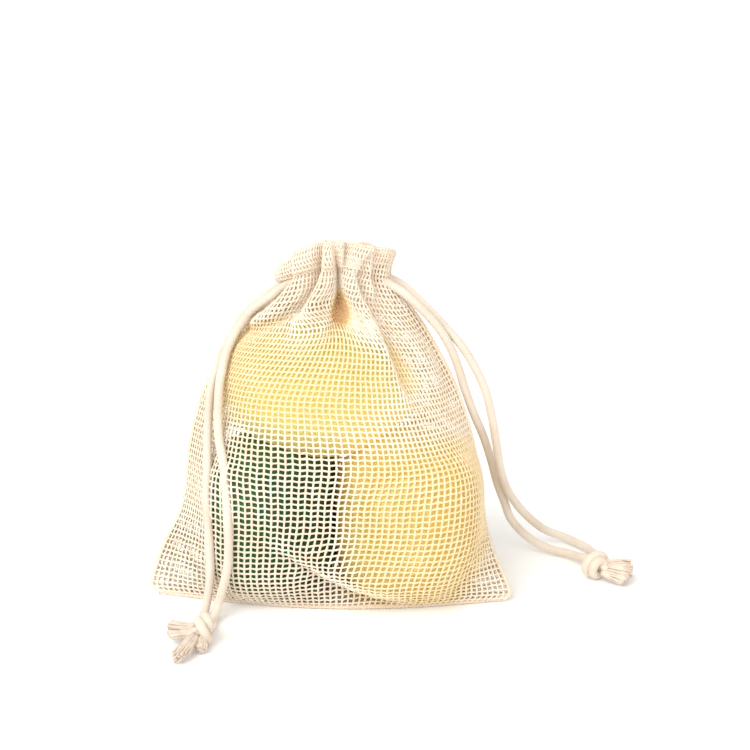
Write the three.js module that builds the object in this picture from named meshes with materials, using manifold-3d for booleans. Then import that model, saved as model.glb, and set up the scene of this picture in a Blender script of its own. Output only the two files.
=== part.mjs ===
// A cotton net drawstring bag, filled with fruit and drawn shut, standing on its base.
// The front faces -Y, +Z is up, and the origin is under the middle of the filled bag. Millimetres.
import * as THREE from "three";
import { mergeVertices } from "three/addons/utils/BufferGeometryUtils.js";
import Module from "manifold-3d";

// Driving dimensions
const HALF_SEAM = 82.2; // half of the bottom seam, from the middle to a corner
const NECK_HEIGHT = 152; // where the drawstrings close the bag, in the middle of the front
const RIM_HEIGHT = 164; // top of the frill above the drawstrings
const FRONT_DEPTH = 47; // from the neck's middle to the front of the bag, where it is deepest
const CORD_DIAMETER = 4;
const BAG_MIDDLE = -9; // depth of the middle of the filled bag, behind which the neck stands

// The filled bag's outline at each height, from the floor to the neck. left and right are its half
// widths, seam is the depth of the side seams, front and back are the depths of the two panels in the
// middle, and power shapes the section: 0.5 is an ellipse, and above 1 the ends thin out into flat ears.
const OUTLINE = [
  { z: 0, left: 81.5, right: 81.5, seam: -26.6, front: -36.2, back: 10, power: 1.2 },
  { z: 4, left: HALF_SEAM, right: HALF_SEAM, seam: -26, front: -38.4, back: 16, power: 1.1 },
  { z: 10, left: 80.3, right: 79.6, seam: -23.6, front: -41.4, back: 20, power: 1 },
  { z: 18, left: 76.6, right: 75, seam: -18.8, front: -44.6, back: 22.6, power: 0.82 },
  { z: 30, left: 73, right: 70.4, seam: -12, front: -FRONT_DEPTH, back: 24, power: 0.66 },
  { z: 46, left: 70, right: 67.6, seam: -8, front: -46.8, back: 25.4, power: 0.57 },
  { z: 62, left: 67.6, right: 65.2, seam: -3.6, front: -43.6, back: 27.8, power: 0.52 },
  { z: 77, left: 64, right: 61.6, seam: -1, front: -39.4, back: 30, power: 0.5 },
  { z: 92, left: 59.4, right: 56.5, seam: 0, front: -36.2, back: 31.6, power: 0.5 },
  { z: 102, left: 54.2, right: 52.2, seam: 0, front: -33.8, back: 31.2, power: 0.5 },
  { z: 112, left: 47.8, right: 47.4, seam: 0, front: -30.6, back: 28.2, power: 0.5 },
  { z: 122, left: 42.2, right: 43, seam: 0, front: -26.6, back: 24.4, power: 0.5 },
  { z: 132, left: 36.6, right: 38.2, seam: 0, front: -21.8, back: 20, power: 0.5 },
  { z: 142, left: 29.8, right: 32, seam: 0, front: -16.8, back: 15.8, power: 0.5 },
  { z: NECK_HEIGHT, left: 23.4, right: 25.6, seam: 0, front: -12, back: 12, power: 0.5 },
];
// The frill above the neck, where z is a share of the way from the neck to the rim.
const FRILL = [
  { z: 0, left: 23.4, right: 25.6, seam: 0, front: -12, back: 12, power: 0.5 },
  { z: 0.3, left: 25.2, right: 25.1, seam: 0, front: -14.4, back: 13.9, power: 0.5 },
  { z: 0.6, left: 25.8, right: 25.6, seam: 0, front: -14.3, back: 13.5, power: 0.5 },
  { z: 1, left: 25.6, right: 27.4, seam: 0, front: -12.4, back: 11, power: 0.5 },
];
// The neck and the rim hang lower at the sides, where the cords pull them down.
const NECK_DROOP = { left: 9.6, right: 7.4 };
const RIM_DROOP = { left: 12.6, right: 4.6 };
const DROOP_START = 100; // height where the droop begins
const MOUTH_TILT = 0.2; // rise of the rim towards the front, so that the mouth opens backwards

// Heights of the rings of points that make up the body's skin, and shares of the frill's height
const BODY_HEIGHTS = [
  0, 2, 4, 7, 10, 14, 19, 25, 32, 40, 48, 56, 63, 70, 77, 84, 91, 97, 101, 104, 107, 110, 113, 116, 119, 122,
  125, 128, 131, 134, 137, 140, 143, 146, 149,
];
const FRILL_SHARES = [0, 0.15, 0.35, 0.65, 1];
const PANEL_SEGMENTS = 50; // steps across each of the two panels
const EAR_HALF_THICKNESS = 1.2;
const EAR_ROUND = 0.16; // share of the half width over which an ear's edge rounds off
const SECTION_SAMPLES = 400;

// The fruit that the net lies on. Fullness shapes a fruit: 2 is an ellipsoid, and above 2 it is boxier.
const FRUIT = [
  { middle: [-7.5, -2.4, 95.6], half: [43, 33.4, 32.6], tilt: 4, fullness: 2 },
  { middle: [-28, -14, 35.4], half: [31, 34.4, 34.4], tilt: 0, fullness: 2.5 },
  { middle: [34.2, -14, 36], half: [33.6, 35, 35], tilt: 0, fullness: 2.5 },
];
const NET_THICKNESS = 1.2; // from a fruit's skin to the outside of the net

// Folds that the drawstrings gather the net into. Each goes from the rim down, as height, x, depth and
// half width, and a depth below 0 is a ridge. The last one in each list is where the net hangs slack.
const FRONT_FOLDS = [
  [[164, -19.5, 1.2, 5], [152, -19.2, 4.5, 3.2], [146, -24.5, 4, 4], [140, -30, 2.5, 5], [134, -35, 0, 5]],
  [[164, -12.5, -2.2, 6], [152, -13, -2.2, 5], [140, -19, -4.5, 6.5], [133, -30, -4.5, 8.5],
    [127, -40, -2, 9], [122, -46, 0, 9]],
  [[164, -5.5, 3, 4.5], [152, -6.2, 6.5, 3], [144, -9, 8, 3.4], [138, -12.8, 8, 4.5], [134, -19, 7, 7],
    [130, -29, 6, 8.5], [126, -39, 4, 9], [121, -46, 0, 9]],
  [[164, 0, -1.4, 5], [152, -1.2, -2, 4.6], [140, -4.5, -4.5, 5.5], [131, -8.5, -4.5, 7], [122, -12, -1.5, 8],
    [116, -14, 0, 8]],
  [[164, 6, 9, 5.5], [152, 3.8, 11, 3.6], [142, 3, 11, 3.6], [136, 3.4, 10, 5.4], [130, 4.6, 7.5, 8],
    [122, 5, 3, 9], [115, 5, 0, 9]],
  [[164, 10, -1.6, 4.5], [152, 7.8, -2.2, 3.6], [142, 8.6, -3.6, 3.8], [135, 11.5, -4.2, 4.4],
    [127, 18.5, -3.6, 5], [118, 25, -2, 6], [108, 30, 0, 6]],
  [[164, 13.5, 2, 4], [152, 11.8, 6, 3.2], [142, 14, 6, 3.4], [135, 17, 4, 4], [128, 21, 0, 4]],
  [[164, 17, -2, 4.5], [152, 15.6, -1.6, 3.6], [142, 19.5, -2.4, 4.5], [134, 25, 0, 5]],
  [[164, 21, 2.2, 4.5], [152, 19.6, 5.5, 3.4], [142, 21.6, 4, 4], [134, 23, 4.5, 5], [127.5, 25, 6.5, 5.5],
    [120, 29.8, 7.5, 6], [112, 35, 7, 6.5], [103, 39, 5, 7], [92, 44, 0, 8]],
  [[142, 28, 0, 5], [128, 33, -3, 6], [118, 38, -4, 7], [108, 43, -2.5, 7], [96, 48, 0, 7]],
  [[146, 30, 0, 12], [134, 33, 3, 12], [122, 37, 4.5, 13], [109, 42, 5, 15], [96, 46, 4.5, 15],
    [82, 52, 2.6, 13], [69, 57, 0, 12]],
];
const BACK_FOLDS = [
  [[164, -20, 2.2, 6], [152, -18.2, 5.6, 4.6], [130, -25, 5, 7], [102, -36, 0, 10]],
  [[164, -14.5, -1.4, 6], [152, -13.5, -1.2, 4.6], [130, -19, -2, 7], [110, -24, 0, 9]],
  [[164, -9.5, 5.4, 6], [152, -9.2, 7, 4.2], [130, -11.5, 6, 7], [106, -14, 0, 9]],
  [[164, -5, -1.2, 5.5], [152, -5, -1.4, 4], [130, -6.5, -2, 6], [112, -8, 0, 8]],
  [[164, -0.5, 2.4, 5], [152, -1, 4.6, 3.6], [138, -1.5, 3.6, 5], [120, -2, 0, 8]],
  [[164, 3.6, -1.4, 5.5], [152, 3.6, -1.4, 4.2], [130, 4.5, -2, 6], [112, 5, 0, 8]],
  [[164, 8, 6, 6.5], [152, 8.6, 8.6, 4.6], [130, 10, 7, 7], [104, 11, 0, 10]],
  [[164, 14, -1.4, 6], [152, 13.6, -1.2, 4.2], [130, 18, -2, 6], [110, 22, 0, 8]],
  [[164, 20, 2.2, 6], [152, 18.8, 5.6, 4.4], [130, 27, 5, 7], [98, 36, 0, 10]],
  [[146, 24, 0, 14], [133, 22, 1.5, 18], [119, 24, 2.5, 22], [105, 26, 2.5, 24],
    [90, 30, 1.6, 24], [70, 30, 0, 24]],
];
const FOLD_LIMIT = 0.7; // share of the way to the middle that a fold reaches at most

// The funnel inside the frill: scale of the rim's outline and depth below it
const FUNNEL = [
  { scale: 0.92, drop: 0.4 },
  { scale: 0.68, drop: 1.2 },
  { scale: 0.4, drop: 2.2 },
  { scale: 0.2, drop: 4.6 },
];
const FUNNEL_FOOT = 5.4;
const MOUTH_MIDDLE = (FRILL.at(-1).right - FRILL.at(-1).left) / 2;

const BASE_MIDDLE = -13; // depth of the middle of the flat base

const CORD_SIDES = 10;
const CORD_STEP = 10.8; // length of one step along a strand

// The free strands, each from the casing at the neck to its knot on the floor in front or at the right.
const STRANDS = {
  cord_left_outer: [
    [-30.6, -0.8, 136.6],
    [-34, -0.6, 133.6],
    [-38.1, -0.6, 129.6],
    [-42, -0.8, 125.5],
    [-45.1, -1.6, 120.1],
    [-48.4, -6.3, 114.5],
    [-51, -11.6, 109.1],
    [-52.1, -13.2, 104.8],
    [-53.7, -15.1, 100.6],
    [-54.5, -17.5, 95.6],
    [-54.9, -20, 90.3],
    [-55.3, -23.7, 80.5],
    [-54.9, -31.4, 66.5],
    [-54.4, -39.6, 52.5],
    [-53.2, -44.3, 37],
    [-52.8, -45.6, 20.9],
    [-53.6, -46.6, 11.3],
    [-54.7, -48.8, 5.2],
    [-55.4, -55.6, 2.4],
    [-55.6, -68, 3.6],
  ],
  cord_left_inner: [
    [-28, -9.2, 138.2],
    [-32.8, -6.8, 134.3],
    [-37.2, -6.2, 130.6],
    [-40.2, -6.4, 126.6],
    [-43.7, -7.6, 121.4],
    [-46.5, -10.6, 115.8],
    [-48.2, -16, 110.7],
    [-49, -17.5, 106.2],
    [-49.8, -19.3, 102.1],
    [-50.3, -23.1, 93.9],
    [-49.8, -29, 79.1],
    [-47.1, -36, 68.3],
    [-45.1, -44.4, 57.9],
    [-44.1, -49.2, 46],
    [-43.8, -50.4, 32.8],
    [-44.9, -50.4, 22],
    [-47.3, -50.6, 12.4],
    [-49.2, -52, 5.6],
    [-50.3, -58, 2.4],
    [-50.4, -68, 3.6],
  ],
  cord_right_outer: [
    [30.4, 3, 141.8],
    [40, 2, 133.3],
    [49.6, 1.4, 123.4],
    [58.2, 1, 113.5],
    [64.4, 1.5, 103.2],
    [69, 2, 93],
    [72.3, 3.5, 79.8],
    [74.7, 6.3, 65.8],
    [77, 11.6, 50.8],
    [80.1, 18, 38.7],
    [85.9, 26.9, 26],
    [93, 35, 15.4],
    [100.4, 41.6, 7.4],
    [110.2, 42.6, 3.2],
    [118, 34.6, 2.8],
    [122, 23.4, 4.2],
    [123.8, 13, 6.6],
  ],
  cord_right_inner: [
    [30.5, -4.8, 140.8],
    [36.4, -4.8, 135.8],
    [46.2, -3.6, 125.2],
    [51.8, -2, 116.2],
    [56.1, 0.6, 105.4],
    [59.7, 3, 93],
    [63.9, 5.8, 80.2],
    [68.8, 10.1, 67],
    [72.7, 15.4, 53.1],
    [75.6, 20.8, 40.4],
    [79.5, 25.8, 28.1],
    [82.8, 29.6, 18],
    [87.9, 31.8, 10.8],
    [94.4, 31, 5.8],
    [102, 28.4, 3.2],
    [110.2, 23.6, 3.2],
    [115.4, 16.6, 4.4],
    [118.2, 10.6, 6.2],
  ],
};

// The knots that join each pair of strands. tilt turns the loop about X and then about Z.
const KNOT_RADIUS = 4.3;
const KNOT_TUBE = 2; // radius of the looped cord
const KNOT_STEPS = 45;
const KNOT_SIDES = 8;
const KNOT_CORE = 4; // radius of the turns hidden in the middle
const KNOT_PLUMP = 1.25; // stretch of the knot along its axis
const KNOTS = {
  knot_left: {
    centre: [-54, -77.4, 6.4],
    tilt: [0.25, 0.5],
    ends: [
      { start: [-55, -76, 6.4], end: [-68.5, -75, 6.2], radius: 4.6 },
      { start: [-55, -79, 6.2], end: [-60.5, -98, 5.4], radius: 4.4 },
    ],
  },
  knot_right: {
    centre: [124.6, 1.6, 7.4],
    tilt: [1.2, 0.7],
    ends: [
      { start: [126, 1, 7.4], end: [138.4, -2, 8], radius: 6.4 },
      { start: [126, -1, 6.6], end: [136.4, -10.4, 6], radius: 5.2 },
    ],
  },
};

const NET_COLOUR = 0xf3e6cf;
const CORD_COLOUR = 0xf4ead6;

// Value of one field of a list of stations at height z, on a smooth curve through them.
function at(stations, field, z) {
  const last = stations.length - 1;
  let i = 0;
  while (i < last - 1 && z > stations[i + 1].z) i += 1;
  const slope = (j) => {
    const a = stations[Math.max(j - 1, 0)];
    const b = stations[Math.min(j + 1, last)];
    return (b[field] - a[field]) / (b.z - a.z);
  };
  const low = stations[i];
  const high = stations[i + 1];
  const span = high.z - low.z;
  const t = (z - low.z) / span;
  const rise = high[field] - low[field];
  const bend = t * (1 - t) * ((1 - t) * (slope(i) * span - rise) - t * (slope(i + 1) * span - rise));
  return low[field] + rise * t + bend;
}

// The section at one height: the value of each of its fields there.
function sectionAt(stations, fields, z) {
  return Object.fromEntries(fields.map((field) => [field, at(stations, field, z)]));
}

// One panel of a section as points at equal steps along it: sign is 1 for the back and -1 for the front.
function panel(section, sign) {
  const dense = [];
  for (let i = 0; i <= SECTION_SAMPLES; i += 1) {
    const angle = (Math.PI * i) / SECTION_SAMPLES;
    const across = Math.cos(angle) * sign;
    const half = across > 0 ? section.right : section.left;
    const share = (1 - across * across) ** section.power;
    const reach = (sign > 0 ? section.back : -section.front) + section.seam * -sign;
    const ear = EAR_HALF_THICKNESS * Math.min(1, Math.sin(angle) / EAR_ROUND);
    dense.push(new THREE.Vector2(half * across, section.seam + sign * Math.max(reach * share, ear)));
  }
  const lengths = [0];
  for (let i = 1; i < dense.length; i += 1) {
    lengths.push(lengths[i - 1] + dense[i].distanceTo(dense[i - 1]));
  }
  const points = [];
  let j = 1;
  for (let i = 0; i < PANEL_SEGMENTS; i += 1) {
    const wanted = (lengths.at(-1) * i) / PANEL_SEGMENTS;
    while (lengths[j] < wanted) j += 1;
    const t = (wanted - lengths[j - 1]) / (lengths[j] - lengths[j - 1]);
    points.push(dense[j - 1].clone().lerp(dense[j], t));
  }
  return points;
}

// How far the folds of a panel press a point in at height z, at x across the bag.
function foldDepth(folds, x, z) {
  let depth = 0;
  for (const fold of folds) {
    const below = fold.findIndex((node) => node[0] <= z);
    if (below < 0 || (below === 0 && z > fold[0][0])) continue;
    const low = fold[below];
    const high = fold[Math.max(below - 1, 0)];
    const t = high === low ? 0 : (z - low[0]) / (high[0] - low[0]);
    const [, middle, deep, half] = low.map((value, k) => THREE.MathUtils.lerp(value, high[k], t));
    const away = THREE.MathUtils.clamp((x - middle) / half, -1, 1);
    depth += (deep * (1 + Math.cos(Math.PI * away))) / 2;
  }
  return depth;
}

// A whole section at height z, with its folds pressed in towards its middle.
function ring(section, z) {
  const middle = new THREE.Vector2((section.right - section.left) / 2, section.seam);
  const press = (folds) => (p) => {
    const out = p.clone().sub(middle);
    const reach = out.length();
    return p.clone().sub(out.setLength(Math.min(foldDepth(folds, p.x, z), FOLD_LIMIT * reach)));
  };
  return [...panel(section, 1).map(press(BACK_FOLDS)), ...panel(section, -1).map(press(FRONT_FOLDS))];
}

// Moves a point of the net that lies inside a fruit out to its skin.
function overFruit(point) {
  for (const { middle, half, tilt, fullness } of FRUIT) {
    const centre = new THREE.Vector3(...middle);
    const axis = new THREE.Vector3(0, 1, 0);
    const angle = THREE.MathUtils.degToRad(tilt);
    const local = point.clone().sub(centre).applyAxisAngle(axis, -angle);
    const shares = local.toArray().map((value, k) => Math.abs(value / (half[k] + NET_THICKNESS)));
    const size = shares.reduce((sum, share) => sum + share ** fullness, 0) ** (1 / fullness);
    if (size < 1) point.copy(local.divideScalar(size).applyAxisAngle(axis, angle).add(centre));
  }
  return point;
}

function smooth(t) {
  const s = THREE.MathUtils.clamp(t, 0, 1);
  return s * s * (3 - 2 * s);
}

// How far a point x across a section hangs below its middle, for the droop at the two sides.
function droop(x, section, depth) {
  const aside = x < 0 ? x / section.left : x / section.right;
  return (x < 0 ? depth.left : depth.right) * aside * aside;
}

// The rings of the bag's skin, from the floor up to the rim and down the funnel.
function bagRings() {
  const rings = [];
  for (const z of BODY_HEIGHTS) {
    const section = sectionAt(OUTLINE, ["left", "right", "seam", "front", "back", "power"], z);
    const sag = smooth((z - DROOP_START) / (NECK_HEIGHT - DROOP_START));
    const hang = (p) => new THREE.Vector3(p.x, p.y, z - sag * droop(p.x, section, NECK_DROOP));
    rings.push(ring(section, z).map((p) => overFruit(hang(p))));
  }
  for (const share of FRILL_SHARES) {
    const section = sectionAt(FRILL, ["left", "right", "seam", "front", "back", "power"], share);
    const points = ring(section, THREE.MathUtils.lerp(NECK_HEIGHT, RIM_HEIGHT, share));
    rings.push(
      points.map((p) => {
        const neck = NECK_HEIGHT - droop(p.x, section, NECK_DROOP);
        const behind = Math.max(p.y - section.front, 0);
        const rim = RIM_HEIGHT - droop(p.x, section, RIM_DROOP) - MOUTH_TILT * behind;
        return new THREE.Vector3(p.x, p.y, THREE.MathUtils.lerp(neck, rim, share));
      }),
    );
  }
  const rim = rings.at(-1);
  for (const { scale, drop } of FUNNEL) {
    rings.push(
      rim.map((p) => {
        const x = THREE.MathUtils.lerp(MOUTH_MIDDLE, p.x, scale);
        return new THREE.Vector3(x, p.y * scale, p.z - drop);
      }),
    );
  }
  return rings;
}

// Two triangles between four corners that go round in order, split along the shorter diagonal.
function quad(points, a, b, c, d) {
  const shorter = points[a].distanceTo(points[c]) < points[b].distanceTo(points[d]);
  return shorter ? [a, b, c, a, c, d] : [a, b, d, b, c, d];
}

// A closed skin over a stack of rings, with a point at each end.
function loft(rings, foot, head) {
  const count = rings[0].length;
  const points = [...rings.flat(), foot, head];
  const footIndex = points.length - 2;
  const headIndex = points.length - 1;
  const faces = [];
  for (let i = 0; i < count; i += 1) {
    const next = (i + 1) % count;
    faces.push(footIndex, next, i);
    for (let r = 0; r < rings.length - 1; r += 1) {
      const low = r * count;
      const high = low + count;
      faces.push(...quad(points, low + i, low + next, high + next, high + i));
    }
    const top = (rings.length - 1) * count;
    faces.push(headIndex, top + i, top + next);
  }
  const geometry = new THREE.BufferGeometry().setFromPoints(points);
  geometry.setIndex(faces);
  return geometry;
}

// A free strand of cord along its route, as a tube with flat ends.
function strand(route) {
  const points = route.map((p) => new THREE.Vector3(...p));
  const path = new THREE.CatmullRomCurve3(points, false, "centripetal");
  const round = new THREE.EllipseCurve(0, 0, CORD_DIAMETER / 2, CORD_DIAMETER / 2);
  const section = new THREE.Shape(round.getPoints(CORD_SIDES));
  const steps = Math.round(path.getLength() / CORD_STEP);
  return new THREE.ExtrudeGeometry(section, { steps, extrudePath: path });
}

const wasm = await Module();
wasm.setup();

// A closed geometry as a solid that can be joined to others, and back.
function solid(geometry) {
  const bare = geometry.clone();
  bare.deleteAttribute("normal");
  bare.deleteAttribute("uv");
  const merged = mergeVertices(bare);
  const vertProperties = new Float32Array(merged.attributes.position.array);
  const triVerts = new Uint32Array(merged.index.array);
  return new wasm.Manifold(new wasm.Mesh({ numProp: 3, vertProperties, triVerts }));
}

function geometryOf(manifold) {
  const mesh = manifold.getMesh();
  const geometry = new THREE.BufferGeometry();
  geometry.setAttribute("position", new THREE.BufferAttribute(new Float32Array(mesh.vertProperties), 3));
  geometry.setIndex(Array.from(mesh.triVerts));
  return geometry;
}

// A frayed cord end: a plug that widens from the knot at its start to its loose threads.
function frayedEnd(start, end, radius) {
  const from = new THREE.Vector3(...start);
  const along = new THREE.Vector3(...end).sub(from);
  const cone = new THREE.CylinderGeometry(radius, CORD_DIAMETER / 2, along.length(), CORD_SIDES, 1);
  cone.translate(0, along.length() / 2, 0);
  const turn = new THREE.Quaternion().setFromUnitVectors(new THREE.Vector3(0, 1, 0), along.normalize());
  return cone.applyQuaternion(turn).translate(...start);
}

// An overhand knot in a pair of cords: one looped tube round a core, with the frayed ends beyond it.
function knot({ centre, tilt, ends }) {
  const loop = new THREE.TorusKnotGeometry(KNOT_RADIUS, KNOT_TUBE, KNOT_STEPS, KNOT_SIDES, 2, 3);
  const core = new THREE.SphereGeometry(KNOT_CORE, KNOT_SIDES, KNOT_SIDES);
  for (const geometry of [loop, core]) {
    geometry.scale(1, 1, KNOT_PLUMP);
    geometry.rotateX(tilt[0]);
    geometry.rotateZ(tilt[1]);
    geometry.translate(...centre);
  }
  let body = solid(loop).add(solid(core));
  for (const { start, end, radius } of ends) {
    body = body.add(solid(frayedEnd(start, end, radius)));
  }
  return geometryOf(body);
}

function cotton(color) {
  return new THREE.MeshStandardMaterial({ color, roughness: 0.95, metalness: 0 });
}

function piece(name, geometry, color) {
  const mesh = new THREE.Mesh(geometry, cotton(color));
  mesh.name = name;
  return mesh;
}

const foot = new THREE.Vector3(0, BASE_MIDDLE, 0);
const head = new THREE.Vector3(MOUTH_MIDDLE, 0, RIM_HEIGHT + MOUTH_TILT * FRILL.at(-1).front - FUNNEL_FOOT);

const bag = new THREE.Group();
bag.position.y = -BAG_MIDDLE;
bag.add(piece("net_bag", loft(bagRings(), foot, head), NET_COLOUR));
for (const [name, route] of Object.entries(STRANDS)) bag.add(piece(name, strand(route), CORD_COLOUR));
for (const [name, place] of Object.entries(KNOTS)) bag.add(piece(name, knot(place), CORD_COLOUR));

export default bag;
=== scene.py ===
"""Looks of a cotton net drawstring bag with three fruits in it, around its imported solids."""
import math

import bpy
import numpy as np
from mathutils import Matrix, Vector, noise


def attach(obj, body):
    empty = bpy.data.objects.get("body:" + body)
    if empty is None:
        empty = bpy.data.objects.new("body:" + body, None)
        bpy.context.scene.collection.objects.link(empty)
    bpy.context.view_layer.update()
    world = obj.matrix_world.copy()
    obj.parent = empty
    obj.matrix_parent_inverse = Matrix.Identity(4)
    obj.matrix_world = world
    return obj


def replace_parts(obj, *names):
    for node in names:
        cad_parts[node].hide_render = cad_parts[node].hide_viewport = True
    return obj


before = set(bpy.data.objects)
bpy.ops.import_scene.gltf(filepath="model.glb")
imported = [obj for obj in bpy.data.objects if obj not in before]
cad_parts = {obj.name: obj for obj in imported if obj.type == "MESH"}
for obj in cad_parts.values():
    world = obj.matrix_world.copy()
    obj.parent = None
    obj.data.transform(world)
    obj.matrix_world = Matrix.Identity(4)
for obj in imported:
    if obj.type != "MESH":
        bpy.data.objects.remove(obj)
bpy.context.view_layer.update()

MM = 0.001
BAG_MIDDLE = -9  # depth of the middle of the filled bag, behind which the neck stands
random = np.random.default_rng(7)


# Camera at the photograph's angle
CAMERA_AZIMUTH = math.radians(3)
CAMERA_ELEVATION = math.radians(18)
CAMERA_DISTANCE = 0.9
CAMERA_TARGET = Vector((0.0185, 0.006 - BAG_MIDDLE * MM, 0.0974))
CAMERA_LENS = 93.9  # mm
CAMERA_SENSOR = 36

camera_back = Vector((
    math.sin(CAMERA_AZIMUTH) * math.cos(CAMERA_ELEVATION),
    -math.cos(CAMERA_AZIMUTH) * math.cos(CAMERA_ELEVATION),
    math.sin(CAMERA_ELEVATION),
))
camera = bpy.data.objects.new("camera", bpy.data.cameras.new("camera"))
camera.data.lens = CAMERA_LENS
camera.data.sensor_width = CAMERA_SENSOR
camera.location = CAMERA_TARGET + CAMERA_DISTANCE * camera_back
camera.rotation_euler = (-camera_back).to_track_quat("-Z", "Y").to_euler()
bpy.context.scene.collection.objects.link(camera)
bpy.context.scene.camera = camera


# Mesh helpers. Lengths in this script are millimetres, from under the neck, until a piece is made.
def in_frame(points):
    """Points of this script in the frame, in metres."""
    return (np.asarray(points) - (0, BAG_MIDDLE, 0)) * MM


def make_piece(name, points, faces, material, slot=None):
    """A smooth mesh piece that rides on the bag."""
    mesh = bpy.data.meshes.new(name)
    mesh.from_pydata(in_frame(points).tolist(), [], faces)
    mesh.polygons.foreach_set("use_smooth", np.ones(len(mesh.polygons), bool))
    mesh.materials.append(material)
    mesh.validate()
    piece = bpy.data.objects.new(name, mesh)
    bpy.context.scene.collection.objects.link(piece)
    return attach(piece, "root")


def unit(v):
    """Vectors of length 1."""
    return v / np.maximum(np.linalg.norm(v, axis=-1, keepdims=True), 1e-9)


def smooth(t):
    """Goes from 0 to 1 without a corner while t does."""
    s = np.clip(t, 0, 1)
    return s * s * (3 - 2 * s)


def rise(value, low, high):
    """Goes smoothly from 0 at low to 1 at high, which may be the lesser."""
    return smooth((value - low) / (high - low))


def tube_faces(count, rings, sides):
    """Faces of count closed tubes, whose points run tube by tube, ring by ring."""
    tube = np.arange(count)[:, None, None] * rings * sides
    ring = np.arange(rings - 1)[None, :, None] * sides
    side = np.arange(sides)[None, None, :]
    after = (side + 1) % sides
    quads = np.stack([
        tube + ring + side,
        tube + ring + after,
        tube + ring + sides + after,
        tube + ring + sides + side,
    ], -1).reshape(-1, 4).tolist()
    start = (tube[:, 0, 0][:, None] + np.arange(sides)[::-1][None]).tolist()
    end = (tube[:, 0, 0][:, None] + (rings - 1) * sides + np.arange(sides)[None]).tolist()
    return quads + start + end


def tubes(paths, normals, radii, sides):
    """Closed tubes along paths (tube, point, xyz). radii has one value for each point of a path."""
    along = unit(np.gradient(paths, axis=1))
    aside = unit(np.cross(along, normals))
    up = np.cross(aside, along)
    turn = np.arange(sides) * 2 * math.pi / sides
    ring = (
        np.cos(turn)[:, None] * up[:, :, None, :]
        + np.sin(turn)[:, None] * aside[:, :, None, :]
    )
    points = paths[:, :, None, :] + radii[:, :, None, None] * ring
    return points.reshape(-1, 3), tube_faces(paths.shape[0], paths.shape[1], sides)


def join(parts):
    """Several (points, faces) as one."""
    points, faces, first = [], [], 0
    for p, f in parts:
        points.append(p)
        faces += [[i + first for i in face] for face in f] if first else f
        first += len(p)
    return np.concatenate(points), faces


SPAN_POINTS = 24  # on a smooth curve, from one of its given points to the next


def centripetal(points, step):
    """A smooth curve through points, sampled at equal steps."""
    p = np.asarray(points, float)
    p = np.concatenate([[2 * p[0] - p[1]], p, [2 * p[-1] - p[-2]]])
    curve = []
    for a, b, c, d in zip(p, p[1:], p[2:], p[3:]):
        t = np.cumsum([0, *(np.sqrt(np.linalg.norm(q - r)) for q, r in ((b, a), (c, b), (d, c)))])
        s = np.linspace(t[1], t[2], SPAN_POINTS, endpoint=False)[:, None]
        ab = (t[1] - s) / (t[1] - t[0]) * a + (s - t[0]) / (t[1] - t[0]) * b
        bc = (t[2] - s) / (t[2] - t[1]) * b + (s - t[1]) / (t[2] - t[1]) * c
        cd = (t[3] - s) / (t[3] - t[2]) * c + (s - t[2]) / (t[3] - t[2]) * d
        abc = (t[2] - s) / (t[2] - t[0]) * ab + (s - t[0]) / (t[2] - t[0]) * bc
        bcd = (t[3] - s) / (t[3] - t[1]) * bc + (s - t[1]) / (t[3] - t[1]) * cd
        curve.append((t[2] - s) / (t[2] - t[1]) * abc + (s - t[1]) / (t[2] - t[1]) * bcd)
    return resample(np.concatenate([*curve, p[-2:-1]]), step)


def resample(points, step):
    """A line of points sampled at equal steps."""
    gone = np.cumsum([0, *np.linalg.norm(np.diff(points, axis=0), axis=1)])
    wanted = np.linspace(0, gone[-1], max(2, round(gone[-1] / step) + 1))
    return np.stack([np.interp(wanted, gone, points[:, k]) for k in range(3)], 1)


def carried_frame(path, first):
    """Normals along a path that turn with it and don't twist."""
    along = unit(np.gradient(path, axis=0))
    normals = [unit(np.asarray(first, float) - np.dot(first, along[0]) * along[0])]
    for t in along[1:]:
        normals.append(unit(normals[-1] - np.dot(normals[-1], t) * t))
    return np.array(normals)


# Materials
COTTON_ROUGHNESS = 0.92
COTTON_SHINE = 0.3
COTTON_RELIEF = 0.0004  # m, height of the fibres
PATCHES_BESIDE_PAINTED_LIGHT = 0.3  # share of the patchy colour that stays beside the painted light and shade
PEEL_RELIEF = 0.0006  # m, depth of the pores
PEEL_MOTTLE = 45.0


def shader(name, roughness, **sockets):
    """A material with its node tree and its surface node."""
    material = bpy.data.materials.new(name)
    material.use_nodes = True
    bsdf = material.node_tree.nodes["Principled BSDF"]
    bsdf.inputs["Roughness"].default_value = roughness
    for socket, value in sockets.items():
        bsdf.inputs[socket.replace("_", " ")].default_value = value
    return material, material.node_tree, bsdf


def node(tree, kind, inputs=(), **settings):
    """A node whose inputs are values or other nodes' outputs."""
    made = tree.nodes.new(kind)
    for key, value in settings.items():
        setattr(made, key, value)
    for key, value in dict(inputs).items():
        if isinstance(value, bpy.types.NodeSocket):
            tree.links.new(value, made.inputs[key])
        else:
            made.inputs[key].default_value = value
    return made


def place(tree):
    """Where a point lies on its piece."""
    return node(tree, "ShaderNodeTexCoord").outputs["Object"]


def multiply_add(tree, value, factor, added):
    inputs = {0: value, 1: factor, 2: added}
    return node(tree, "ShaderNodeMath", inputs, operation="MULTIPLY_ADD").outputs["Value"]


def spread(tree, value, low, high, to_low=0.0, to_high=1.0):
    """Goes evenly from to_low to to_high while a value goes from low to high."""
    return node(tree, "ShaderNodeMapRange", {
        "Value": value, "From Min": low, "From Max": high, "To Min": to_low, "To Max": to_high,
    }).outputs["Result"]


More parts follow.
